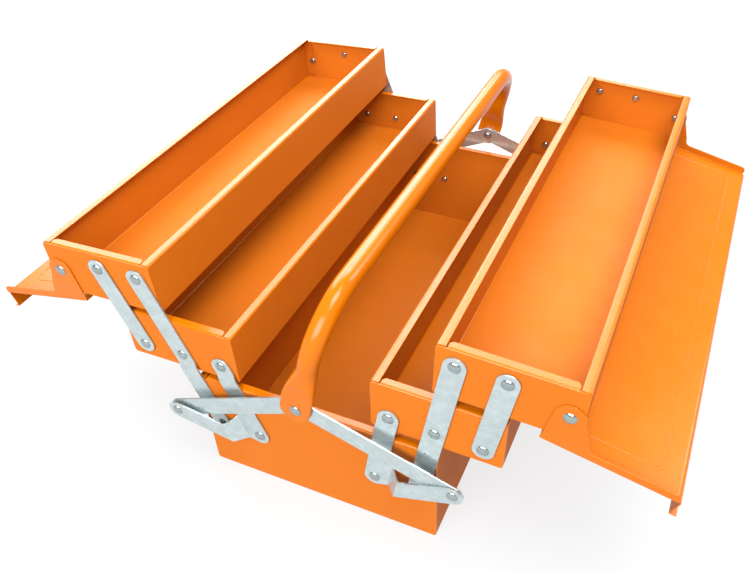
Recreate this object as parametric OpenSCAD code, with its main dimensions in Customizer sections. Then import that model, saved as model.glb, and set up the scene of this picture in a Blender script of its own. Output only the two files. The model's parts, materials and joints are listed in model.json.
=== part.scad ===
// Cantilever tool box: a bottom box, two middle trays and two upper trays with lids, which spread to
// both sides on riveted links. The links' cranks and straps carry one long handle over the middle.
// Millimetres, +Z up, +Y along the box. The origin is the middle of the bottom box's underside.
// It is drawn opened out, with the left side opened further than the right.
// A point in the plane of the links is written [x, z], with x counted outwards from the middle.

/* [Bottom box] */
// Length of the bottom box
box_length = 404; // [340:1:480]
// Width of the bottom box
box_width = 200; // [190:1:230]
// Height of the bottom box
box_height = 100; // [94:1:120]
// Thickness of all the sheet metal
sheet = 0.9; // [0.7:0.1:1.2]
// Outside radius of every bend in the sheet
bend_radius = 2; // [1.6:0.1:2.5]
// Width of the hems along the rims
hem_width = 6.5; // [5:0.5:9]
// Slit between the hem of an end wall and the hem of a long wall
hem_slit = 1.2; // [0.8:0.1:2]
// Chamfer at the ends of an end wall's hem
hem_chamfer = 2; // [1:0.5:4]
// Width of the corner tabs that join the long walls to the end walls
tab_width = 9.2; // [6:0.1:9.3]
// Gap between a corner tab and the floor
tab_relief = 3; // [2:0.5:6]

/* [Trays] */
// Width of each tray
tray_width = 98; // [92:0.5:98]
// Height of the middle trays
middle_height = 45; // [40:0.5:52]
// Height of the upper trays
upper_height = 44; // [40:0.5:52]
// How far each end of a tray stands back from the end of the box
tray_setback = 1.5; // [1:0.1:3]
// How far the closed trays stand back from the box's long walls
side_setback = 0.5; // [0.2:0.1:1.5]
// Gap between the layers when the box is closed
stack_gap = 0.9; // [0.6:0.1:2]

/* [Linkage] */
// Distance from the box's rim down to its rivets
box_pivot_drop = 47.8; // [44:0.1:50]
// Distance from a middle tray's rim down to its rivets
middle_pivot_drop = 31.3; // [29:0.1:33]
// Distance from the outer wall to the outermost rivet of the box and the middle tray
pivot_inset = 14.5; // [12:0.1:16]
// Distance between neighbouring rivets along a wall
pivot_spacing = 34.8; // [31:0.1:36]
// Lean of the left links, outwards from upright
left_lean_angle = 20.3; // [12:0.1:22]
// Lean of the right links, outwards from upright
right_lean_angle = 10.4; // [8:0.1:20]
// How far the play in the rivets lets the middle trays tip outwards
middle_tip_angle = 1.3; // [0.6:0.1:1.5]
// How far the play in the rivets lets the upper trays tip outwards
upper_tip_angle = 2.8; // [1.6:0.1:3]
// Width of the links
link_width = 16; // [14:0.5:17]
// Thickness of the links
link_thickness = 1.5; // [1.2:0.1:2]
// Length of the joggle that carries a link from the box's face in to the trays' faces
joggle_length = 5; // [4:0.5:6]
// Gap between a link and the sheet behind it
link_gap = 0.3; // [0.2:0.1:0.4]

/* [Cranks and straps] */
// Length of a crank's arm, from its box rivet to its tip rivet
arm_length = 69.8; // [66:0.1:72]
// Angle between a crank's link and its arm
arm_angle = 60; // [57:0.5:62]
// Distance from the crank's centre line to its first bend
jog_start = 12.5; // [11:0.5:13]
// Distance from the crank's centre line to its second bend
jog_end = 20.5; // [19:0.5:21]
// How far the arm is offset outwards
jog_offset = 9.9; // [9:0.1:12]
// Radius of the fillet between the crank's link and its arm
crank_fillet = 9; // [6:0.5:12]
// Slope of the straps in the opened pose
strap_slope_angle = 21.25; // [18:0.25:26]
// Width of the straps
strap_width = 16; // [13:0.5:17]
// Thickness of the straps
strap_thickness = 1.5; // [1.2:0.1:1.6]
// Gap between the straps and between a strap and the arm
strap_gap = 0.3; // [0.2:0.1:0.4]

/* [Rivets] */
// Diameter of the rivets' shanks
shank_diameter = 5; // [4:0.1:6]
// Diameter of the rivets' heads
head_diameter = 9.5; // [8.5:0.1:11]
// Height of the rivets' heads
head_height = 1.8; // [1.4:0.1:2.2]
// Diameter of the rivets' inner ends
tail_diameter = 7; // [6.5:0.1:8]
// Height of the rivets' inner ends
tail_height = 1.4; // [1:0.1:1.6]
// Radial clearance of a rivet in a piece that turns on it
running_clearance = 0.06; // [0.03:0.01:0.1]
// Play between a rivet's ends and the pieces that turn on it
end_play = 0.1; // [0.05:0.01:0.2]

/* [Lids] */
// Width of a lid, from its hinge edge to its free edge
lid_width = 94.5; // [92.5:0.5:96]
// Opening of a lid that hangs outwards, counted from closed
lid_open = 190; // [186:0.5:192]
// Distance from the lid's hinge edge to its rivets
ear_inset = 10.9; // [10:0.1:12]
// Distance from the lid's outer face to its rivets
ear_reach = 28.6; // [27.5:0.1:30]
// Distance from a tray's outer wall to the lid's rivets
lid_pivot_inset = 8.9; // [8:0.1:10]
// Distance from an upper tray's rim down to the lid's rivets
lid_pivot_drop = 24.6; // [23.5:0.1:25.5]
// Radius of the ears' tips
ear_radius = 10.5; // [9:0.1:11]
// Width of an ear where it meets the lid's end flange
ear_root = 30; // [27:0.5:33]
// Radius of the fillet between an ear and the end flange
ear_fillet = 6; // [4:0.5:8]
// Height of a lid's end flanges
end_flange = 6.2; // [5.6:0.1:7]
// Radius of the corner at the end of an end flange
flange_corner = 4; // [3:0.5:5]
// Depth of the lip along a lid's free edge
lip_depth = 16; // [13:0.5:18]
// Outer radius of the bend between a lid and its lip
lip_bend = 4; // [3:0.5:5]
// Width of the return along the lip
lip_return = 5; // [3:0.5:6]
// Distance from the lid's end to the end of its lip
lip_setback = 2; // [1.8:0.1:6]
// Angle by which the lip leans back over the closed lid
lip_lean = 7; // [4:1:10]
// Distance from the lid's edges to the pressed rectangle
panel_inset = 15.5; // [13:0.5:20]
// Width of the groove round the pressed rectangle
groove_width = 3; // [2:0.5:5]
// Depth of the groove round the pressed rectangle
groove_depth = 0.4; // [0.2:0.1:0.5]
// Radius of the pressed rectangle's corners
groove_corner = 6; // [5.5:0.5:9]

/* [Handle] */
// Height of the bar's centre line above the handle's rivets
handle_height = 91; // [86:1:98]
// Diameter of the handle's tube
handle_diameter = 16; // [14:0.5:18]
// Radius of the handle's two bends, at the centre line
handle_bend = 45; // [38:1:48]
// Lean of the handle to the right
handle_lean = 14; // [8:1:16]
// Width of the flattened ends
tab_wide = 27; // [24:0.5:29]
// Thickness of the flattened ends
tab_thick = 3.2; // [2.6:0.1:4]
// Length of a flattened end below its rivet
tab_below = 10; // [9:0.5:12]
// Height above the rivet at which the flattened end starts to narrow
tab_shoulder = 19; // [17:0.5:22]

/* [Hidden] */

// How far cuts run past the faces that they open
over = sheet / 2;
// Smoothness of the round pieces
fine = 48;
coarse = 24;
$fn = fine;

paint = [1, 0.5, 0.08];
zinc = [0.78, 0.82, 0.84];

// Inside radius of the bends
inner_radius = bend_radius - sheet;

// Heights and places that follow from the stacked, closed box
outer_x = box_width / 2 - side_setback;
link_lift = box_pivot_drop + stack_gap + middle_height - middle_pivot_drop;
upper_pivot_drop = stack_gap + upper_height + middle_pivot_drop - link_lift;
link_pitch = sqrt(link_lift * link_lift + pivot_spacing * pivot_spacing);
closed_lean = -asin(pivot_spacing / link_pitch);
tray_length = box_length - 2 * tray_setback;

// Rivets fixed in the box: the long link's and the crank's
long_pivot = [outer_x - pivot_inset, box_height - box_pivot_drop];
crank_pivot = long_pivot - [pivot_spacing, 0];

// Outer walls as seen from a tray's own long-link rivet
middle_out = pivot_inset + pivot_spacing;
upper_out = pivot_inset + 2 * pivot_spacing;
lid_pivot = [upper_out - lid_pivot_inset, upper_pivot_drop - lid_pivot_drop];

// Play of the two loose rivets, which hold the trays' tip
middle_play = pivot_spacing * sin(middle_tip_angle) / 2;
upper_play = pivot_spacing * sin(upper_tip_angle - middle_tip_angle) / 2;
loose_middle = [-pivot_spacing, -middle_play];
loose_upper = [pivot_spacing, upper_play];

// Layers outwards from the box's end face, each given by its inner face
tray_face = tray_length / 2;
box_face = box_length / 2;
link_layer = box_face + link_gap;
tray_link_layer = tray_face + link_gap;
arm_layer = link_layer + jog_offset;
right_strap_layer = arm_layer - strap_gap - strap_thickness;
left_strap_layer = right_strap_layer - strap_gap - strap_thickness;
tab_layer = arm_layer;

shank_radius = shank_diameter / 2;
bore_radius = shank_radius + running_clearance;
link_radius = link_width / 2;
strap_radius = strap_width / 2;

function along(a, d) = [d * sin(a), d * cos(a)];
function turned(p, a) = [p[0] * cos(a) + p[1] * sin(a), p[1] * cos(a) - p[0] * sin(a)];
function middle_at(lean) = long_pivot + along(lean, link_pitch);
function upper_at(lean) = long_pivot + along(lean, 2 * link_pitch);
function tip_at(lean) = crank_pivot + along(lean + arm_angle, arm_length);

// The handle's rivets lie where the two straps meet
tip_left = tip_at(left_lean_angle);
tip_right = tip_at(right_lean_angle);
tip_span = [tip_right[0] + tip_left[0], tip_right[1] - tip_left[1]];
half_span = norm(tip_span) / 2;
strap_length = half_span / cos(strap_slope_angle);
strap_rise = half_span * tan(strap_slope_angle);
handle_pivot = [tip_right[0] - tip_left[0], tip_right[1] + tip_left[1]] / 2
    + strap_rise * [-tip_span[1], tip_span[0]] / norm(tip_span);
strap_lean_left = atan2(handle_pivot[0] + tip_left[0], handle_pivot[1] - tip_left[1]);
strap_lean_right = atan2(tip_right[0] - handle_pivot[0], handle_pivot[1] - tip_right[1]);

// The hinge flange of a hanging lid rests under the tray
hang = lid_open - 180;
flange_rest = upper_height - lid_pivot_drop + link_gap;
hinge_flange = ear_reach - (flange_rest + ear_inset * sin(hang)) / cos(hang);

module sided(side) {
    mirror([side < 0 ? 1 : 0, 0, 0]) children();
}

module ended(end) {
    mirror([0, end < 0 ? 0 : 1, 0]) children();
}

// Carries a flat outline [x, z] into the plane of the links, from y = inner to y = inner + deep
// outwards at the front end.
module plate(inner, deep) {
    translate([0, -inner, 0]) rotate([90, 0, 0]) linear_extrude(deep) children();
}

module at_point(p) {
    translate([p[0], 0, p[1]]) children();
}

module at_middle(lean) {
    at_point(middle_at(lean)) rotate([0, middle_tip_angle, 0]) children();
}

module at_upper(lean) {
    at_point(upper_at(lean)) rotate([0, upper_tip_angle, 0]) children();
}

// A rectangle with round corners, from [left, low], as exact arcs
module round_rect(left, low, wide, high, radius) {
    translate([left + radius, low]) square([wide - 2 * radius, high]);
    translate([left, low + radius]) square([wide, high - 2 * radius]);
    for (x = [left + radius, left + wide - radius], z = [low + radius, low + high - radius])
        translate([x, z]) circle(radius, $fn = coarse);
}

// A pan's floor, long walls and their hems are one folded section between the end walls.
module pan_body(left, low, wide, high, long) {
    rotate([90, 0, 0]) linear_extrude(long - 2 * sheet, center = true)
        pan_section(left, low, wide, high);
}

// The end walls close the section, each with a hem of its own and the corner tabs behind it.
module pan_ends(left, low, wide, high, long) {
    half = long / 2;
    for (end = [-1, 1]) ended(end) {
        plate(half - sheet, sheet) round_rect(left, low, wide, high - sheet, bend_radius);
        end_hem(left + hem_width + hem_slit, low + high, wide - 2 * (hem_width + hem_slit), half);
        for (x = [left + sheet, left + wide - sheet - tab_width])
            plate(half - 2 * sheet, 2 * sheet - over)
                translate([x, low + sheet + tab_relief])
                    square([tab_width, high - 2 * (sheet + tab_relief)]);
    }
}

module pan_section(left, low, wide, high) {
    difference() {
        round_rect(left, low, wide, high, bend_radius);
        round_rect(left + sheet, low + sheet, wide - 2 * sheet, high - 2 * sheet, inner_radius);
        translate([left + hem_width, low + high - sheet - over])
            square([wide - 2 * hem_width, sheet + 2 * over]);
    }
}

module end_hem(left, top, wide, half) {
    translate([left, -half, top - bend_radius])
        rotate([90, 0, 90]) linear_extrude(wide) difference() {
            union() {
                square([sheet, bend_radius - sheet]);
                translate([bend_radius, 0]) circle(bend_radius, $fn = coarse);
            }
            translate([bend_radius, 0]) circle(inner_radius, $fn = coarse);
            translate([0, -2 * bend_radius]) square([2 * bend_radius, 2 * bend_radius]);
            translate([bend_radius, -bend_radius]) square([bend_radius, 3 * bend_radius]);
        }
    translate([left, bend_radius - half, top - sheet]) linear_extrude(sheet)
        polygon([
            [0, -over], [wide, -over], [wide, hem_width - bend_radius - hem_chamfer],
            [wide - hem_chamfer, hem_width - bend_radius], [hem_chamfer, hem_width - bend_radius],
            [0, hem_width - bend_radius - hem_chamfer]
        ]);
}

// Bores through both end walls
module rivet_bores(points, long, radius = shank_radius) {
    for (p = points) at_point(p)
        rotate([90, 0, 0]) cylinder(h = long + 2 * over, r = radius, center = true);
}

// A pair of domed rivets, one in each end: the tail's foot is at y = inner, and the last piece that
// turns on the shank has its outer face at y = outer.
module rivets(p, inner, outer) {
    for (end = [-1, 1]) ended(end) at_point(p) rotate([90, 0, 0]) {
        rivet_front(inner, outer);
        translate([0, 0, inner - tail_height])
            cylinder(h = tail_height, r1 = shank_radius, r2 = tail_diameter / 2);
    }
}

module rivet_front(inner, outer) {
    dome = (head_diameter * head_diameter / 4 + head_height * head_height) / (2 * head_height);
    seat = outer + end_play;
    translate([0, 0, inner]) cylinder(h = seat - inner, r = shank_radius);
    translate([0, 0, seat]) intersection() {
        translate([0, 0, head_height - dome]) sphere(dome);
        cylinder(h = head_height, r = head_diameter / 2);
    }
}

module capsule(high, radius) {
    translate([-radius, 0]) square([2 * radius, high]);
    for (z = [0, high]) translate([0, z]) circle(radius);
}

// Where the joggle starts, along the link: the closed box's rim is still behind the flat part
joggle_start = (box_pivot_drop + link_radius * abs(sin(closed_lean))) / cos(closed_lean);
joggle_end = joggle_start + joggle_length;

// Section of a link along its length: on the box's face below, on the trays' faces above
module joggle_section(bottom, top) {
    polygon([
        [link_layer, bottom], [link_layer, joggle_start], [tray_link_layer, joggle_end],
        [tray_link_layer, top], [tray_link_layer + link_thickness, top],
        [tray_link_layer + link_thickness, joggle_end],
        [link_layer + link_thickness, joggle_start], [link_layer + link_thickness, bottom]
    ]);
}

// A link of the given length, trimmed from a joggled strip
module joggled_link(high) {
    intersection() {
        plate(tray_face, 2 * (link_layer - tray_face) + link_thickness)
            capsule(high, link_radius);
        rotate([0, 0, -90]) rotate([90, 0, 0]) linear_extrude(2 * link_width, center = true)
            joggle_section(-link_width, high + link_width);
    }
}

module long_link_shape() {
    difference() {
        joggled_link(2 * link_pitch);
        for (i = [0, 1, 2]) at_point([0, i * link_pitch]) link_bore(bore_radius);
    }
}

module link_bore(radius) {
    plate(tray_face, arm_layer + link_thickness + over - tray_face) circle(radius);
}

module outer_link_shape() {
    difference() {
        plate(tray_link_layer, link_thickness) capsule(link_pitch, link_radius);
        link_bore(bore_radius);
        at_point([0, link_pitch]) link_bore(bore_radius + upper_play);
    }
}

// Flat outline of a crank's arm, with the gusset that fills the corner to the link
module arm_outline() {
    root = link_width / tan(arm_angle / 2);
    rotate(-arm_angle) capsule(arm_length, strap_radius);
    difference() {
        polygon([[0, 0], along(0, root + crank_fillet), along(arm_angle, root + crank_fillet)]);
        translate(along(arm_angle / 2, (link_radius + crank_fillet) / sin(arm_angle / 2)))
            circle(crank_fillet);
        polygon([
            along(arm_angle / 2, (link_radius + crank_fillet) / sin(arm_angle / 2)),
            along(0, root + crank_fillet) + [link_radius, 0],
            along(arm_angle / 2, 2 * (root + crank_fillet)),
            along(arm_angle, root + crank_fillet) + link_radius * [-cos(arm_angle), sin(arm_angle)]
        ]);
    }
}

// Section of a crank across its link, seen from above: flat, two bends, flat again
module jog_section() {
    polygon([
        [-link_radius, link_layer], [jog_start, link_layer], [jog_end, arm_layer],
        [2 * arm_length, arm_layer], [2 * arm_length, arm_layer + link_thickness],
        [jog_end - jog_skew, arm_layer + link_thickness],
        [jog_start - jog_skew, link_layer + link_thickness],
        [-link_radius, link_layer + link_thickness]
    ]);
}

// Sideways shift that keeps the sloped part of the jog as thick as the rest
jog_skew = link_thickness * tan(atan2(jog_offset, jog_end - jog_start) / 2);

module crank_shape() {
    difference() {
        union() {
            joggled_link(link_pitch);
            intersection() {
                plate(link_layer, jog_offset + link_thickness) arm_outline();
                mirror([0, 1, 0]) translate([0, 0, -arm_length])
                    linear_extrude(2 * arm_length) jog_section();
            }
        }
        link_bore(bore_radius);
        at_point([0, link_pitch]) link_bore(bore_radius + middle_play);
        at_point(along(arm_angle, arm_length)) link_bore(shank_radius);
    }
}

module strap_shape(layer) {
    difference() {
        plate(layer, strap_thickness) capsule(strap_length, strap_radius);
        plate(layer - over, strap_thickness + 2 * over) circle(bore_radius);
    }
}

// Outline of a lid's end, with the ear: x along the closed lid from its hinge edge inwards, z down
module lid_end_outline() {
    flange_end = lid_width - bend_radius;
    intersection() {
        square([flange_end, end_flange]);
        union() {
            square([flange_end - flange_corner, end_flange]);
            translate([flange_end - flange_corner, end_flange - flange_corner])
                circle(flange_corner);
        }
    }
    translate([ear_inset, ear_reach]) circle(ear_radius);
    difference() {
        polygon([
            [ear_inset - ear_radius, 0], [ear_inset - ear_radius, ear_reach],
            [ear_inset + ear_radius, ear_reach], [ear_root, end_flange + ear_fillet],
            [ear_root + ear_fillet, end_flange + over], [ear_root + ear_fillet, 0]
        ]);
        translate([ear_root + ear_fillet, end_flange + ear_fillet]) circle(ear_fillet);
    }
}

// Section across the closed lid: hinge flange, panel, bend, lip and the lip's return
module lid_section() {
    rise = (lip_depth + sheet - lip_bend * (1 + sin(lip_lean))) / cos(lip_lean);
    square([lid_width - lip_bend, sheet]);
    square([sheet, hinge_flange]);
    translate([lid_width - lip_bend, sheet - lip_bend]) {
        difference() {
            rotate(-lip_lean) difference() {
                circle(lip_bend, $fn = coarse);
                circle(lip_bend - sheet, $fn = coarse);
                translate([-2 * lip_bend, -2 * lip_bend])
                    square([4 * lip_bend, 2 * lip_bend]);
            }
            translate([-2 * lip_bend, -2 * lip_bend]) square([2 * lip_bend, 4 * lip_bend]);
        }
        rotate(-lip_lean) translate([lip_bend - sheet, -rise]) {
            square([sheet, rise]);
            square([lip_return, sheet]);
        }
    }
}

module lid_shape() {
    end_face = tray_link_layer + sheet;
    half = end_face;
    // The lid's own frame has its rivets at the origin and the closed lid above them
    translate([ear_inset, 0, ear_reach]) mirror([1, 0, 0]) mirror([0, 0, 1]) {
        difference() {
            union() {
                intersection() {
                    rotate([90, 0, 0]) linear_extrude(2 * half, center = true) lid_section();
                    union() {
                        translate([0, -half, 0])
                            cube([lid_width - lip_bend, 2 * half, sheet]);
                        translate([0, -tray_face + sheet, 0])
                            cube([sheet, 2 * (tray_face - sheet), hinge_flange]);
                        translate([0, lip_setback - half, -lip_depth])
                            cube([
                                lid_width + lip_return + lip_depth,
                                2 * (half - lip_setback), lip_depth + sheet
                            ]);
                    }
                }
                for (end = [-1, 1]) ended(end) plate(tray_link_layer, sheet) lid_end_outline();
            }
            lid_groove(half);
            rivet_bores([[ear_inset, ear_reach]], 2 * half, bore_radius);
        }
    }
}

// Groove pressed round the lid's panel
module lid_groove(half) {
    wide = lid_width - 2 * panel_inset;
    long = 2 * (half - panel_inset);
    translate([panel_inset, panel_inset - half, sheet - groove_depth])
        linear_extrude(sheet) difference() {
            round_rect(0, 0, wide, long, groove_corner);
            round_rect(
                groove_width, groove_width, wide - 2 * groove_width, long - 2 * groove_width,
                groove_corner - groove_width
            );
        }
}

module handle_shape() {
    radius = handle_diameter / 2;
    legs = tab_layer + tab_thick - radius;
    // Straight bar
    translate([0, 0, handle_height]) rotate([90, 0, 0])
        cylinder(h = 2 * (legs - handle_bend), r = radius, center = true);
    for (end = [-1, 1]) ended(end) {
        // Bend
        translate([0, handle_bend - legs, handle_height - handle_bend])
            rotate([0, -90, 0]) rotate([0, 0, 180]) mirror([1, 0, 0]) rotate_extrude(angle = 90)
                translate([handle_bend, 0]) circle(radius);
        // The tube widens and flattens down to the tab
        hull() {
            translate([0, -legs, handle_height - handle_bend - over])
                cylinder(h = over, r = radius, $fn = coarse);
            translate([-tab_wide / 2, -tab_layer - tab_thick, tab_shoulder])
                cube([tab_wide, tab_thick, over]);
        }
        difference() {
            plate(tab_layer, tab_thick) tab_outline();
            plate(tab_layer - over, tab_thick + 2 * over) circle(bore_radius);
        }
    }
}

module tab_outline() {
    foot = tab_wide / 2 - tab_below;
    translate([-tab_wide / 2, 0]) square([tab_wide, tab_shoulder + over]);
    translate([-foot, -tab_below]) square([2 * foot, tab_below + over]);
    for (x = [-foot, foot]) translate([x, 0]) circle(tab_below);
}

module middle_tray() {
    color(paint) pan_body(middle_out - tray_width, middle_pivot_drop - middle_height, tray_width,
        middle_height, tray_length);
}

module middle_ends() {
    color(paint) difference() {
        pan_ends(middle_out - tray_width, middle_pivot_drop - middle_height, tray_width,
            middle_height, tray_length);
        rivet_bores([[0, 0], [pivot_spacing, 0], loose_middle], tray_length);
    }
}

module upper_tray() {
    color(paint) pan_body(upper_out - tray_width, upper_pivot_drop - upper_height, tray_width,
        upper_height, tray_length);
}

module upper_ends() {
    color(paint) difference() {
        pan_ends(upper_out - tray_width, upper_pivot_drop - upper_height, tray_width, upper_height,
            tray_length);
        rivet_bores([[0, 0], loose_upper, lid_pivot], tray_length);
    }
}

module bottom_box() {
    color(paint) pan_body(-box_width / 2, 0, box_width, box_height, box_length);
}

module bottom_box_ends() {
    color(paint) difference() {
        pan_ends(-box_width / 2, 0, box_width, box_height, box_length);
        for (side = [-1, 1]) sided(side) rivet_bores([long_pivot, crank_pivot], box_length);
    }
}

module box_rivets() {
    color(zinc) for (side = [-1, 1], p = [long_pivot, crank_pivot])
        sided(side) rivets(p, box_face - sheet, link_layer + link_thickness);
}

module middle_rivets() {
    color(zinc) for (p = [[0, 0], [pivot_spacing, 0], loose_middle])
        rivets(p, tray_face - sheet, tray_link_layer + link_thickness);
}

module upper_rivets() {
    color(zinc) for (p = [[0, 0], loose_upper])
        rivets(p, tray_face - sheet, tray_link_layer + link_thickness);
}

module lid_rivets() {
    // Their tails lie on the corner tabs
    color(zinc) rivets(lid_pivot, tray_face - 2 * sheet, tray_link_layer + sheet);
}

module crank_rivets(lean, layer) {
    color(zinc) rivets(tip_at(lean), layer - end_play, arm_layer + link_thickness - end_play);
}

module handle_rivets() {
    color(zinc) for (end = [-1, 1]) ended(end)
        at_point(handle_pivot) rotate([90, 0, 0]) rivet_front(tab_layer, tab_layer + tab_thick);
}

module long_link(lean, end) {
    color(zinc) ended(end) at_point(long_pivot) rotate([0, lean, 0]) long_link_shape();
}

module outer_link(lean, end) {
    color(zinc) ended(end)
        at_point(middle_at(lean) + turned([pivot_spacing, 0], middle_tip_angle))
            rotate([0, lean, 0]) outer_link_shape();
}

module crank(lean, end) {
    color(zinc) ended(end) at_point(crank_pivot) rotate([0, lean, 0]) crank_shape();
}

module strap(tip, lean, end, layer) {
    color(zinc) ended(end) at_point(tip) rotate([0, -lean, 0]) strap_shape(layer);
}

module lid() {
    color(paint) at_point(lid_pivot) rotate([0, lid_open, 0]) lid_shape();
}

module handle() {
    color(paint) at_point(handle_pivot) rotate([0, handle_lean, 0]) handle_shape();
}

bottom_box();
bottom_box_ends();
box_rivets();
sided(-1) at_middle(left_lean_angle) middle_tray();  // middle_tray_left
sided(-1) at_middle(left_lean_angle) middle_ends();  // middle_ends_left
sided(-1) at_middle(left_lean_angle) middle_rivets();  // middle_rivets_left
at_middle(right_lean_angle) middle_tray();  // middle_tray_right
at_middle(right_lean_angle) middle_ends();  // middle_ends_right
at_middle(right_lean_angle) middle_rivets();  // middle_rivets_right
sided(-1) at_upper(left_lean_angle) upper_tray();  // upper_tray_left
sided(-1) at_upper(left_lean_angle) upper_ends();  // upper_ends_left
sided(-1) at_upper(left_lean_angle) upper_rivets();  // upper_rivets_left
at_upper(right_lean_angle) upper_tray();  // upper_tray_right
at_upper(right_lean_angle) upper_ends();  // upper_ends_right
at_upper(right_lean_angle) upper_rivets();  // upper_rivets_right
sided(-1) at_upper(left_lean_angle) lid();  // lid_left
sided(-1) at_upper(left_lean_angle) lid_rivets();  // lid_rivets_left
at_upper(right_lean_angle) lid();  // lid_right
at_upper(right_lean_angle) lid_rivets();  // lid_rivets_right
sided(-1) long_link(left_lean_angle, -1);  // long_link_left_front
sided(-1) long_link(left_lean_angle, 1);  // long_link_left_rear
long_link(right_lean_angle, -1);  // long_link_right_front
long_link(right_lean_angle, 1);  // long_link_right_rear
sided(-1) outer_link(left_lean_angle, -1);  // outer_link_left_front
sided(-1) outer_link(left_lean_angle, 1);  // outer_link_left_rear
outer_link(right_lean_angle, -1);  // outer_link_right_front
outer_link(right_lean_angle, 1);  // outer_link_right_rear
sided(-1) crank(left_lean_angle, -1);  // crank_left_front
sided(-1) crank(left_lean_angle, 1);  // crank_left_rear
crank(right_lean_angle, -1);  // crank_right_front
crank(right_lean_angle, 1);  // crank_right_rear
sided(-1) crank_rivets(left_lean_angle, left_strap_layer);  // crank_rivets_left
crank_rivets(right_lean_angle, right_strap_layer);  // crank_rivets_right
sided(-1) strap(tip_left, strap_lean_left, -1, left_strap_layer);  // strap_left_front
sided(-1) strap(tip_left, strap_lean_left, 1, left_strap_layer);  // strap_left_rear
strap(tip_right, strap_lean_right, -1, right_strap_layer);  // strap_right_front
strap(tip_right, strap_lean_right, 1, right_strap_layer);  // strap_right_rear
handle();
handle_rivets();
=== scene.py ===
"""Looks of a cantilever tool box: painted sheet, galvanised links, rivets and a tube handle."""

import json
from math import cos, pi, radians, sin

import bpy
from bpy.props import FloatProperty, FloatVectorProperty, IntProperty, PointerProperty
from mathutils import Matrix, Vector


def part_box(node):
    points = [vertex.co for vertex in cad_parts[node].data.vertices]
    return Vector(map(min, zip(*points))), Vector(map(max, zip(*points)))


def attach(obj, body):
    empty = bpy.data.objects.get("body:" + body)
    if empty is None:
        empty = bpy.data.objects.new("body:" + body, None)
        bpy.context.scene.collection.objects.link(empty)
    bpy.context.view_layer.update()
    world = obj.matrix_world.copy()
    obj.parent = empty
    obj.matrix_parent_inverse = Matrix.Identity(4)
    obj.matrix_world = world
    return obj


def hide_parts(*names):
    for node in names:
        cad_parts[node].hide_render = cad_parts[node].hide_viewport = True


bl_info = {
    "name": "Cantilever tool box looks",
    "version": (1, 0, 0),
    "blender": (4, 5, 0),
    "location": "3D View > Sidebar > Tool Box",
    "description": "Paints and details a folding-tray tool box around its packed solids",
    "category": "Object",
}

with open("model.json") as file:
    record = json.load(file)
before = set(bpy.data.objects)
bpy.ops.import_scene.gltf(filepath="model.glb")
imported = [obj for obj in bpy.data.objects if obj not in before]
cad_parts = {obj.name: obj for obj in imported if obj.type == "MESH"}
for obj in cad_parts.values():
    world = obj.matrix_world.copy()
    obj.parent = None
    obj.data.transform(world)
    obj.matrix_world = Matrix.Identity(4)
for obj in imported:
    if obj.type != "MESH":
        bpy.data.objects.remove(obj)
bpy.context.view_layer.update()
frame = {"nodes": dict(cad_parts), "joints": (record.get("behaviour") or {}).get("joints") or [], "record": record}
SIDES = ("left", "right")
ENDS = ("front", "rear")
TRAY_NODES = [
    f"{level}_{part}_{side}"
    for level in ("middle", "upper")
    for part in ("tray", "ends")
    for side in SIDES
]
SHEET_NODES = ["bottom_box", "bottom_box_ends"] + TRAY_NODES
LINK_NODES = [
    f"{kind}_{side}_{end}"
    for kind in ("long_link", "outer_link", "crank", "strap")
    for side in SIDES
    for end in ENDS
]
RIVET_NODES = ["box_rivets", "handle_rivets"] + [
    f"{kind}_rivets_{side}" for kind in ("middle", "upper", "lid", "crank") for side in SIDES
]
BODY_OF = {
    node: body
    for body, nodes in frame["record"]["behaviour"]["bodies"].items()
    for node in nodes
}

# How far the opened trays tip outwards at rest
TRAY_TIP = {"middle": radians(1.3), "upper": radians(2.8)}

# Rounded edges: segments across the rounding, and the angle in degrees from which an edge is cut
EDGE_SEGMENTS = 2
CUT_EDGE_ANGLE = 40

# Where the paint is glossy: the hems within this depth of a rim that face up at least so much,
# and faces narrower than a fold. A lid's sheet is nearly as glossy as its folds.
RIM_DEPTH = 0.004
RIM_FACING = 0.2
FOLD_WIDTH = 0.0011
LID_GLOSS = 0.85

# Sockets of a Mix node, by number because its names repeat
MIX_FACTOR = 0
MIX_COLOURS = (6, 7)
MIX_COLOUR_OUT = 2
MIX_FLOATS = (2, 3)
MIX_FLOAT_OUT = 0

# Closed ends of the handle's rivets: radius, thickness, and each ring's inset and rise
INNER_HEAD_RADIUS = 0.0044
INNER_HEAD_DEPTH = 0.0005
INNER_HEAD_RINGS = ((0.0012, 0), (0.0003, 0.0004), (0.0006, 0.0004), (0.0008, 0.0002))
INNER_HEAD_EDGE = 0.0002

# Handle, with heights from its rivets: the lowest point of its flattened ends, and the heights
# between which the press turns the tube flat
TAB_FOOT = -0.0125
PRESS_TOP = 0.044
PRESS_END = 0.010
TAB_LEAST_HALF_WIDTH = 0.002
TAB_EDGE_ROUNDING = 0.0005
BAR_STEPS = 6
BEND_STEPS = 14
LEG_STEPS = 46
# Round a flat ring, the cosine at which its straight sides meet its round edges
ROUND_FROM = 0.5
# Thickness of a pressed end in its middle, as a share of that at its folded edges
MIDDLE_THICKNESS = 0.82
# Arched crease at the press's edge: height, arch, length of its slope and rise
CREASE_HEIGHT = 0.0233
CREASE_ARCH = 22
CREASE_SLOPE = 0.003
CREASE_RISE = 0.0008

# Stage
FLOOR_SIZE = 90
FLOOR_DROP = 0.0005
FLOOR_GREY = 0.07
FLOOR_GLOW = 0.77
SURROUND_GLOW = 0.52
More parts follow.
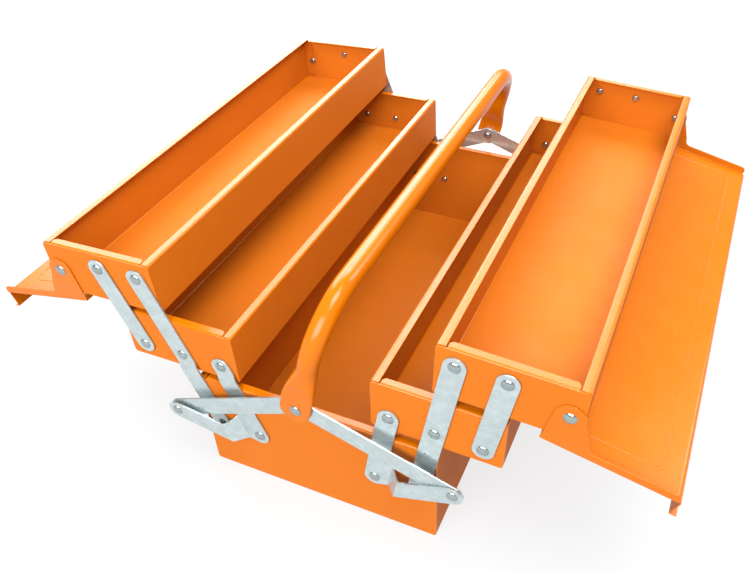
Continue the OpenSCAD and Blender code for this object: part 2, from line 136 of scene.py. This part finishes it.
# Name, place, width and height, power in watts
LIGHTS = (
    ("overhead", (0.78, -0.45, 2.2), (1.2, 1.2), 77),
    ("window", (-1.58, 1.57, 1.65), (2.1, 2.15), 130),
    ("rear", (-0.45, 1.95, 1.95), (1.35, 1.7), 66),
    ("rear_right", (1.5, 1.35, 1.4), (0.4, 1.1), 16),
    ("front", (-0.1, -2.4, 1.5), (2.4, 1.4), 138),
)
LIGHTS_AIM = (0, 0, 0.1)

# Camera, with the focal length in the photograph's pixels
CAMERA_PLACE = (0.22306, -0.52134, 0.54673)
CAMERA_AHEAD = (-0.30984, 0.70073, -0.64263)
CAMERA_RIGHT = (0.91920, 0.39353, -0.01409)
FOCAL_PIXELS = 785.87
FRAME_PIXELS = 750
SENSOR_WIDTH = 36
CAMERA_SHIFT = (-0.0466, -0.00685)


# ---- Sizes and colours that a user would change ----


class ToolBoxSettings(bpy.types.PropertyGroup):
    """Sizes and colours of the tool box's finish"""

    paint: FloatVectorProperty(
        name="Paint",
        description="Colour of the painted sheet metal",
        subtype="COLOR",
        size=3,
        min=0,
        max=1,
        default=(0.43, 0.104, 0.0005),
    )
    paint_roughness: FloatProperty(
        name="Paint roughness",
        description="Roughness of the paint on the box's and trays' floors and walls",
        default=0.68,
        min=0,
        max=1,
    )
    gloss_roughness: FloatProperty(
        name="Gloss roughness",
        description="Roughness of the paint on the hems, the folds and the handle",
        default=0.2,
        min=0,
        max=1,
    )
    zinc: FloatVectorProperty(
        name="Zinc",
        description="Colour of the galvanised links; the rivets are darker",
        subtype="COLOR",
        size=3,
        min=0,
        max=1,
        default=(0.52, 0.6, 0.61),
    )
    edge_width: FloatProperty(
        name="Edge rounding",
        description="Width of the rounding on the sheet's cut edges",
        default=0.00038,
        min=0,
        max=0.0004,
        unit="LENGTH",
        precision=5,
    )
    tube_radius: FloatProperty(
        name="Tube radius",
        description="Radius of the handle's tube",
        default=0.008,
        min=0.006,
        max=0.01,
        unit="LENGTH",
        precision=4,
    )
    handle_height: FloatProperty(
        name="Handle height",
        description="Height of the bar's centre line above the handle's rivets",
        default=0.091,
        unit="LENGTH",
        precision=4,
    )
    handle_bend: FloatProperty(
        name="Handle bend",
        description="Radius of the handle's bends at the tube's centre line",
        default=0.045,
        unit="LENGTH",
        precision=4,
    )
    handle_lean: FloatProperty(
        name="Handle lean",
        description="Lean of the handle to the right",
        default=radians(14),
        subtype="ANGLE",
        unit="ROTATION",
    )
    tab_width: FloatProperty(
        name="Tab width",
        description="Width of the handle's flattened ends",
        default=0.0248,
        unit="LENGTH",
        precision=4,
    )
    hole_offset: FloatProperty(
        name="Hole offset",
        description="How far the flattened ends lie to the left of their rivets",
        default=0.001,
        unit="LENGTH",
        precision=4,
    )
    tab_thickness: FloatProperty(
        name="Tab thickness",
        description="Thickness of the handle's flattened ends",
        default=0.0032,
        unit="LENGTH",
        precision=5,
    )
    tube_sides: IntProperty(
        name="Tube sides", description="Sides of the handle's tube", default=48, min=16, max=96
    )


def settings():
    return bpy.context.scene.tool_box


def handle_pivot():
    """Middle of the line through the handle's two rivets."""
    return next(j for j in frame["joints"] if j["name"] == "handle_swing")["pos_m"]


# ---- Small helpers ----


def only(piece):
    """Selects one object and nothing else."""
    if bpy.context.mode != "OBJECT":
        bpy.ops.object.mode_set(mode="OBJECT")
    bpy.ops.object.select_all(action="DESELECT")
    piece.select_set(True)
    bpy.context.view_layer.objects.active = piece


def dress(piece, material):
    piece.data.materials.clear()
    piece.data.materials.append(material)


def finish_piece(piece, name, body, material):
    """Names a finished piece, puts its place in its mesh and makes it ride."""
    only(piece)
    bpy.ops.object.transform_apply(location=True, rotation=True, scale=True)
    piece.name = name
    piece.data.name = name
    dress(piece, material)
    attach(piece, body)


def apply_bevel(piece, width, angle):
    """Rounds the edges that are sharper than an angle in degrees."""
    only(piece)
    bevel = piece.modifiers.new("Edges", "BEVEL")
    bevel.width = width
    bevel.segments = EDGE_SEGMENTS
    bevel.limit_method = "ANGLE"
    bevel.angle_limit = radians(angle)
    bevel.use_clamp_overlap = True
    bpy.ops.object.modifier_apply(modifier=bevel.name)


def flat_faces_stay_flat(piece):
    """Bends the shading at the rounded edges only, so that flat sheet stays flat."""
    only(piece)
    bpy.ops.object.shade_smooth_by_angle(angle=radians(50))
    weighted = piece.modifiers.new("Flat faces", "WEIGHTED_NORMAL")
    weighted.weight = 100
    weighted.keep_sharp = True
    bpy.ops.object.modifier_apply(modifier=weighted.name)


def mark_gloss(piece, gloss_of):
    """Notes on each face how glossy its paint is, from 0 to 1."""
    gloss = piece.data.attributes.new("gloss", "FLOAT", "FACE")
    for face in piece.data.polygons:
        gloss.data[face.index].value = float(gloss_of(face))


def softened_copy(node, name, material, gloss=None):
    """A copy of a CAD node with its doubles merged and its sharp edges rounded stands for it.

    gloss is a function that takes the copy and returns the gloss of each of its faces.
    """
    only(frame["nodes"][node])
    bpy.ops.object.duplicate()
    piece = bpy.context.active_object
    for key in [k for k in piece.keys() if k.startswith("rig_")]:
        del piece[key]
    piece.parent = None
    bpy.ops.object.mode_set(mode="EDIT")
    bpy.ops.mesh.select_all(action="SELECT")
    bpy.ops.mesh.remove_doubles(threshold=1e-6)
    bpy.ops.mesh.dissolve_limited(angle_limit=radians(0.3))
    bpy.ops.object.mode_set(mode="OBJECT")
    apply_bevel(piece, settings().edge_width, CUT_EDGE_ANGLE)
    flat_faces_stay_flat(piece)
    if gloss:
        mark_gloss(piece, gloss(piece))
    finish_piece(piece, name, BODY_OF[node], material)
    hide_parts(node)
    return piece


def strip_width(piece, face):
    """Rough width of a face: its area over its longest edge."""
    corners = [piece.data.vertices[i].co for i in face.vertices]
    longest = max((a - b).length for a, b in zip(corners, corners[1:] + corners[:1]))
    return face.area / longest


def rim_and_folds(tilt):
    """Gloss of a box or tray: on the hems along its tilted rim, and on its folds."""
    up = Vector((sin(tilt), 0, cos(tilt)))

    def gloss(piece):
        top = max(v.co.dot(up) for v in piece.data.vertices)

        def is_glossy(face):
            high = face.center.dot(up) > top - RIM_DEPTH
            on_rim = high and face.normal.dot(up) > RIM_FACING
            return on_rim or strip_width(piece, face) < FOLD_WIDTH

        return is_glossy

    return gloss


def lid_gloss(piece):
    return lambda face: 1 if strip_width(piece, face) < FOLD_WIDTH else LID_GLOSS


# ---- Materials ----


def new_material(name):
    """A new material and its node tree, or the one that was made before and None."""
    found = bpy.data.materials.get(name)
    if found:
        return found, None
    material = bpy.data.materials.new(name)
    material.use_nodes = True
    return material, material.node_tree


def add(tree, kind, **values):
    node = tree.nodes.new(kind)
    for key, value in values.items():
        setattr(node, key, value)
    return node


def noise(tree, coords, scale, detail=2.0, roughness=0.5):
    texture = add(tree, "ShaderNodeTexNoise")
    texture.inputs["Scale"].default_value = scale
    texture.inputs["Detail"].default_value = detail
    texture.inputs["Roughness"].default_value = roughness
    tree.links.new(coords, texture.inputs["Vector"])
    return texture.outputs["Fac"]


def ranged(tree, value, low, high, from_low=0.3, from_high=0.7):
    """Spreads a texture's middle range between two numbers."""
    node = add(tree, "ShaderNodeMapRange")
    node.inputs["From Min"].default_value = from_low
    node.inputs["From Max"].default_value = from_high
    node.inputs["To Min"].default_value = low
    node.inputs["To Max"].default_value = high
    tree.links.new(value, node.inputs["Value"])
    return node.outputs["Result"]


def shaded(colour, share):
    return tuple(c * share for c in colour)


def mixed(tree, factor, first, second):
    """Mixes two colours, each a fixed one or another node's output."""
    node = add(tree, "ShaderNodeMix", data_type="RGBA")
    tree.links.new(factor, node.inputs[MIX_FACTOR])
    for index, colour in zip(MIX_COLOURS, (first, second)):
        if isinstance(colour, tuple):
            node.inputs[index].default_value = (*colour, 1)
        else:
            tree.links.new(colour, node.inputs[index])
    return node.outputs[MIX_COLOUR_OUT]


def mixed_roughness(tree, factor, first, second):
    """Mixes two roughnesses, each another node's output."""
    node = add(tree, "ShaderNodeMix", data_type="FLOAT")
    tree.links.new(factor, node.inputs[MIX_FACTOR])
    for index, roughness in zip(MIX_FLOATS, (first, second)):
        tree.links.new(roughness, node.inputs[index])
    return node.outputs[MIX_FLOAT_OUT]


def bump(tree, height, distance, strength):
    node = add(tree, "ShaderNodeBump")
    node.inputs["Strength"].default_value = strength
    node.inputs["Distance"].default_value = distance
    tree.links.new(height, node.inputs["Height"])
    return node.outputs["Normal"]


def paint_material():
    """Powder coat: orange peel, slight colour drift, fine specks, and gloss from the faces."""
    material, tree = new_material("powder_coat")
    if not tree:
        return material
    shader = tree.nodes["Principled BSDF"]
    coords = add(tree, "ShaderNodeTexCoord").outputs["Object"]
    base = tuple(settings().paint)
    deep = (base[0] * 0.96, base[1] * 0.92, base[2] * 0.8)
    drift = ranged(tree, noise(tree, coords, scale=14, detail=3), 0, 1)
    grain = ranged(tree, noise(tree, coords, scale=900, roughness=0.7), 0, 0.5)
    drifted = mixed(tree, drift, base, deep)
    colour = mixed(tree, grain, drifted, shaded(deep, 0.86))
    tree.links.new(colour, shader.inputs["Base Color"])
    gloss = add(tree, "ShaderNodeAttribute", attribute_name="gloss").outputs["Fac"]
    rough = settings().paint_roughness
    shiny = settings().gloss_roughness
    smear = noise(tree, coords, scale=38, detail=4, roughness=0.6)
    roughness = mixed_roughness(
        tree,
        gloss,
        ranged(tree, smear, rough - 0.06, rough + 0.08),
        ranged(tree, smear, shiny - 0.05, shiny + 0.07),
    )
    tree.links.new(roughness, shader.inputs["Roughness"])
    shader.inputs["Specular IOR Level"].default_value = 0.23
    shader.inputs["IOR"].default_value = 1.5
    peel = noise(tree, coords, scale=420)
    tree.links.new(bump(tree, peel, distance=0.0003, strength=0.1), shader.inputs["Normal"])
    return material


def zinc_material(name, colour, rough, spangle, metallic):
    """Zinc on steel: crystals, cloudy dulling, rolling lines and a few dark specks."""
    material, tree = new_material(name)
    if not tree:
        return material
    shader = tree.nodes["Principled BSDF"]
    coords = add(tree, "ShaderNodeTexCoord").outputs["Object"]
    crystals = add(tree, "ShaderNodeTexVoronoi")
    crystals.inputs["Scale"].default_value = spangle
    tree.links.new(coords, crystals.inputs["Vector"])
    shade = add(tree, "ShaderNodeSeparateColor")
    tree.links.new(crystals.outputs["Color"], shade.inputs["Color"])
    spangled = mixed(tree, shade.outputs["Red"], colour, shaded(colour, 0.88))
    cloud = noise(tree, coords, scale=70, detail=5, roughness=0.72)
    clouds = ranged(tree, cloud, 0, 0.6, from_low=0.4, from_high=0.7)
    clouded = mixed(tree, clouds, spangled, shaded(colour, 0.74))
    speck = noise(tree, coords, scale=520, roughness=0.6)
    specks = ranged(tree, speck, 0, 0.5, from_low=0.69, from_high=0.77)
    specked = mixed(tree, specks, clouded, shaded(colour, 0.3))
    tree.links.new(specked, shader.inputs["Base Color"])
    shader.inputs["Metallic"].default_value = metallic
    wear = noise(tree, coords, scale=160, detail=5, roughness=0.65)
    roughness = ranged(tree, wear, rough - 0.07, rough + 0.09)
    tree.links.new(roughness, shader.inputs["Roughness"])
    stretch = add(tree, "ShaderNodeMapping")
    stretch.inputs["Scale"].default_value = (400, 400, 40)
    tree.links.new(coords, stretch.inputs["Vector"])
    rolled = noise(tree, stretch.outputs["Vector"], scale=1, detail=3)
    tree.links.new(bump(tree, rolled, distance=0.0002, strength=0.12), shader.inputs["Normal"])
    return material


def link_material():
    return zinc_material(
        "galvanised_sheet", tuple(settings().zinc), rough=0.3, spangle=260, metallic=0.85
    )


def rivet_material():
    # Rivets take the links' zinc darkened: partly a darker zinc finish, partly painted shade standing in for the
    # shade on the rivets inside the trays' far ends
    return zinc_material(
        "shade_darkened_zinc", shaded(settings().zinc, 0.66), rough=0.13, spangle=420, metallic=0.9
    )


# ---- Pieces ----


class TOOLBOX_OT_sheet_metal(bpy.types.Operator):
    """Bottom box and trays: folded sheet with softened edges, painted"""

    bl_idname = "tool_box.sheet_metal"
    bl_label = "Box and trays"

    def execute(self, context):
        for node in SHEET_NODES:
            softened_copy(
                node,
                f"{node}_sheet",
                paint_material(),
                gloss=rim_and_folds(self.tilt(node)),
            )
        return {"FINISHED"}

    def tilt(self, node):
        """How far a node's rim tips to the right: the box's is level."""
        outwards = TRAY_TIP.get(node.split("_")[0], 0)
        return -outwards if node.endswith("left") else outwards


class TOOLBOX_OT_lids(bpy.types.Operator):
    """Lids: panels with their ears, flanges and lips, painted"""

    bl_idname = "tool_box.lids"
    bl_label = "Lids"

    def execute(self, context):
        for side in SIDES:
            softened_copy(
                f"lid_{side}",
                f"lid_{side}_sheet",
                paint_material(),
                gloss=lid_gloss,
            )
        return {"FINISHED"}


class TOOLBOX_OT_links(bpy.types.Operator):
    """Links, cranks and straps: pressed strips with rounded edges, galvanised"""

    bl_idname = "tool_box.links"
    bl_label = "Links, cranks and straps"

    def execute(self, context):
        for node in LINK_NODES:
            softened_copy(node, f"{node}_strip", link_material())
        return {"FINISHED"}


class TOOLBOX_OT_rivets(bpy.types.Operator):
    """Rivets: domed heads with a softened rim, and the closed ends of the handle's"""

    bl_idname = "tool_box.rivets"
    bl_label = "Rivets"

    def execute(self, context):
        for node in RIVET_NODES:
            softened_copy(node, f"{node}_heads", rivet_material())
        self.inner_heads()
        return {"FINISHED"}

    def inner_heads(self):
        """The closed ends of the handle's rivets, on the straps' inner side."""
        across, _, height = handle_pivot()
        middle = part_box("strap_left_rear")[0].y - INNER_HEAD_DEPTH / 2
        for name, way in (("rear", -1), ("front", 1)):
            bpy.ops.object.select_all(action="DESELECT")
            bpy.ops.mesh.primitive_cylinder_add(
                vertices=40,
                radius=INNER_HEAD_RADIUS,
                depth=INNER_HEAD_DEPTH,
                location=(across, -way * middle, height),
                rotation=(-way * pi / 2, 0, 0),
            )
            head = bpy.context.active_object
            bpy.ops.object.transform_apply(location=True, rotation=True, scale=True)
            bpy.ops.object.mode_set(mode="EDIT")
            bpy.ops.mesh.select_all(action="DESELECT")
            bpy.ops.object.mode_set(mode="OBJECT")
            for face in head.data.polygons:
                face.select = face.normal.y * way > 0.9
            bpy.ops.object.mode_set(mode="EDIT")
            for inset, rise in INNER_HEAD_RINGS:
                bpy.ops.mesh.inset(thickness=inset, depth=0)
                bpy.ops.transform.translate(value=(0, way * rise, 0))
            bpy.ops.object.mode_set(mode="OBJECT")
            apply_bevel(head, INNER_HEAD_EDGE, 30)
            only(head)
            bpy.ops.object.shade_smooth_by_angle(angle=radians(40))
            finish_piece(
                head, f"handle_rivet_inner_{name}", "handle_pins", rivet_material()
            )


def smooth_step(share):
    share = max(0, min(1, share))
    return share * share * (3 - 2 * share)


def flat_ring(turn, half_width, half_thick):
    """A point of a flat ring with round edges, at a share of a turn from its +X edge."""
    straight = half_width - half_thick
    angle = 2 * pi * turn
    way = 1 if cos(angle) > 0 else -1
    face = 1 if sin(angle) > 0 else -1
    if abs(cos(angle)) <= ROUND_FROM:
        return straight * cos(angle) / ROUND_FROM, face * half_thick
    spread = abs(sin(angle)) / sin(radians(60)) * pi / 2
    return way * (straight + half_thick * cos(spread)), face * half_thick * sin(spread)


class TOOLBOX_OT_handle(bpy.types.Operator):
    """Handle: a bent tube whose ends are pressed flat round the rivets"""

    bl_idname = "tool_box.handle"
    bl_label = "Handle"

    def execute(self, context):
        s = settings()
        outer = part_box("handle")[1].y
        leg = outer - s.tube_radius
        bar_end = leg - s.handle_bend
        bpy.ops.object.select_all(action="DESELECT")
        bpy.ops.mesh.primitive_circle_add(
            vertices=s.tube_sides,
            radius=s.tube_radius,
            location=(0, 0, s.handle_height),
            rotation=(pi / 2, 0, 0),
        )
        tube = bpy.context.active_object
        bpy.ops.object.transform_apply(location=True, rotation=True, scale=True)
        bpy.ops.object.mode_set(mode="EDIT")
        bpy.ops.mesh.select_all(action="SELECT")
        for _ in range(BAR_STEPS):
            bpy.ops.mesh.extrude_region_move(
                TRANSFORM_OT_translate={"value": (0, -bar_end / BAR_STEPS, 0)}
            )
        bpy.ops.mesh.spin(
            steps=BEND_STEPS,
            angle=-pi / 2,
            center=(0, -bar_end, s.handle_height - s.handle_bend),
            axis=(1, 0, 0),
        )
        start = s.handle_height - s.handle_bend
        for _ in range(LEG_STEPS):
            bpy.ops.mesh.extrude_region_move(
                TRANSFORM_OT_translate={"value": (0, 0, (TAB_FOOT - start) / LEG_STEPS)}
            )
        bpy.ops.mesh.fill()
        bpy.ops.object.mode_set(mode="OBJECT")
        self.flatten(tube, start, leg, outer, s)
        mirror = tube.modifiers.new("Other end", "MIRROR")
        mirror.use_axis = (False, True, False)
        mirror.use_clip = True
        bpy.ops.object.modifier_apply(modifier=mirror.name)
        apply_bevel(tube, TAB_EDGE_ROUNDING, 50)
        bpy.ops.object.mode_set(mode="EDIT")
        bpy.ops.mesh.select_all(action="SELECT")
        bpy.ops.mesh.normals_make_consistent(inside=False)
        bpy.ops.object.mode_set(mode="OBJECT")
        bpy.ops.object.shade_smooth_by_angle(angle=radians(40))
        tube.rotation_euler = (0, s.handle_lean, 0)
        tube.location = handle_pivot()
        mark_gloss(tube, lambda face: 1)
        finish_piece(tube, "handle_tube", "handle", paint_material())
        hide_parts("handle")
        return {"FINISHED"}

    def flatten(self, tube, start, leg, outer, s):
        """Turns the round rings of the leg into flat ones, down to the pressed, rounded end."""
        top = min(start, PRESS_TOP)
        half_width = s.tab_width / 2
        half_thick = s.tab_thickness / 2
        for vertex in tube.data.vertices:
            x, y, z = vertex.co
            if z > top - 1e-5:
                continue
            turn = (Vector((x, y + leg)).angle_signed(Vector((1, 0)), 0) / (2 * pi)) % 1
            press = smooth_step((top - z) / (top - PRESS_END))
            wide = half_width
            if z < 0:
                z = TAB_FOOT * sin(pi / 2 * z / TAB_FOOT)
                chord = max(0, TAB_FOOT * TAB_FOOT - z * z) ** 0.5
                wide = max(chord * half_width / -TAB_FOOT, TAB_LEAST_HALF_WIDTH)
            flat_x, flat_y = flat_ring(turn, wide, half_thick)
            # A pressed tube stays a little fuller along its folded edges
            edge = min(1, (abs(flat_x) / wide) ** 3 * 1.3)
            flat_y *= MIDDLE_THICKNESS + (1 - MIDDLE_THICKNESS) * edge
            # The edge of the press leaves an arched crease
            crease = z - CREASE_HEIGHT + CREASE_ARCH * flat_x * flat_x
            rise = CREASE_RISE * smooth_step(crease / CREASE_SLOPE)
            flat_y += rise if flat_y > 0 else -rise
            middle = leg + (outer - half_thick - leg) * press
            vertex.co.x = x * (1 - press) + (flat_x - s.hole_offset) * press
            vertex.co.y = -middle + (y + leg) * (1 - press) + flat_y * press
            vertex.co.z = z


# ---- Stage ----


class TOOLBOX_OT_stage(bpy.types.Operator):
    """Pale floor, soft studio light and the camera"""

    bl_idname = "tool_box.stage"
    bl_label = "Stage"

    def execute(self, context):
        self.floor()
        self.lights()
        self.camera()
        context.scene.view_settings.view_transform = "Standard"
        context.scene.view_settings.exposure = 0
        return {"FINISHED"}

    def floor(self):
        bpy.ops.object.select_all(action="DESELECT")
        bpy.ops.mesh.primitive_plane_add(size=FLOOR_SIZE, location=(0, 2, -FLOOR_DROP))
        floor = bpy.context.active_object
        bpy.ops.object.transform_apply(location=True, rotation=True, scale=True)
        floor.name = "floor"
        material, tree = new_material("pale_floor")
        shader = tree.nodes["Principled BSDF"]
        shader.inputs["Base Color"].default_value = (FLOOR_GREY, FLOOR_GREY, FLOOR_GREY, 1)
        shader.inputs["Emission Color"].default_value = (1, 1, 1, 1)
        shader.inputs["Emission Strength"].default_value = FLOOR_GLOW
        shader.inputs["Roughness"].default_value = 0.8
        dress(floor, material)

    def lights(self):
        world = bpy.context.scene.world or bpy.data.worlds.new("studio")
        bpy.context.scene.world = world
        world.use_nodes = True
        background = world.node_tree.nodes["Background"]
        background.inputs["Color"].default_value = (1, 1, 1, 1)
        background.inputs["Strength"].default_value = SURROUND_GLOW
        for name, place, size, power in LIGHTS:
            light = bpy.data.lights.new(name, "AREA")
            light.shape = "RECTANGLE"
            light.size, light.size_y = size
            light.energy = power
            lamp = bpy.data.objects.new(name, light)
            bpy.context.scene.collection.objects.link(lamp)
            lamp.location = place
            towards = Vector(LIGHTS_AIM) - Vector(place)
            lamp.rotation_euler = towards.to_track_quat("-Z", "Y").to_euler()

    def camera(self):
        ahead = Vector(CAMERA_AHEAD).normalized()
        right = Vector(CAMERA_RIGHT)
        right = (right - ahead * right.dot(ahead)).normalized()
        up = right.cross(ahead)
        data = bpy.data.cameras.new("camera")
        data.sensor_fit = "HORIZONTAL"
        data.sensor_width = SENSOR_WIDTH
        data.lens = FOCAL_PIXELS / FRAME_PIXELS * SENSOR_WIDTH
        data.shift_x, data.shift_y = CAMERA_SHIFT
        data.clip_start = 0.01
        camera = bpy.data.objects.new("camera", data)
        bpy.context.scene.collection.objects.link(camera)
        turned = Matrix((right, up, -ahead)).transposed().to_4x4()
        camera.matrix_world = Matrix.Translation(CAMERA_PLACE) @ turned
        bpy.context.scene.camera = camera


class TOOLBOX_PT_panel(bpy.types.Panel):
    """Lists the tool box's pieces and settings"""

    bl_idname = "TOOLBOX_PT_panel"
    bl_label = "Tool Box"
    bl_space_type = "VIEW_3D"
    bl_region_type = "UI"
    bl_category = "Tool Box"

    def draw(self, context):
        for operator in OPERATORS:
            self.layout.operator(operator.bl_idname)
        for name in ToolBoxSettings.__annotations__:
            self.layout.prop(context.scene.tool_box, name)


OPERATORS = (
    TOOLBOX_OT_sheet_metal,
    TOOLBOX_OT_lids,
    TOOLBOX_OT_links,
    TOOLBOX_OT_rivets,
    TOOLBOX_OT_handle,
    TOOLBOX_OT_stage,
)
CLASSES = (ToolBoxSettings, *OPERATORS, TOOLBOX_PT_panel)


def register():
    for item in CLASSES:
        bpy.utils.register_class(item)
    bpy.types.Scene.tool_box = PointerProperty(type=ToolBoxSettings)


def unregister():
    del bpy.types.Scene.tool_box
    for item in reversed(CLASSES):
        bpy.utils.unregister_class(item)


def main():
    register()
    bpy.ops.tool_box.sheet_metal()
    bpy.ops.tool_box.lids()
    bpy.ops.tool_box.links()
    bpy.ops.tool_box.rivets()
    bpy.ops.tool_box.handle()
    bpy.ops.tool_box.stage()


if __name__ == "__main__":
    main()
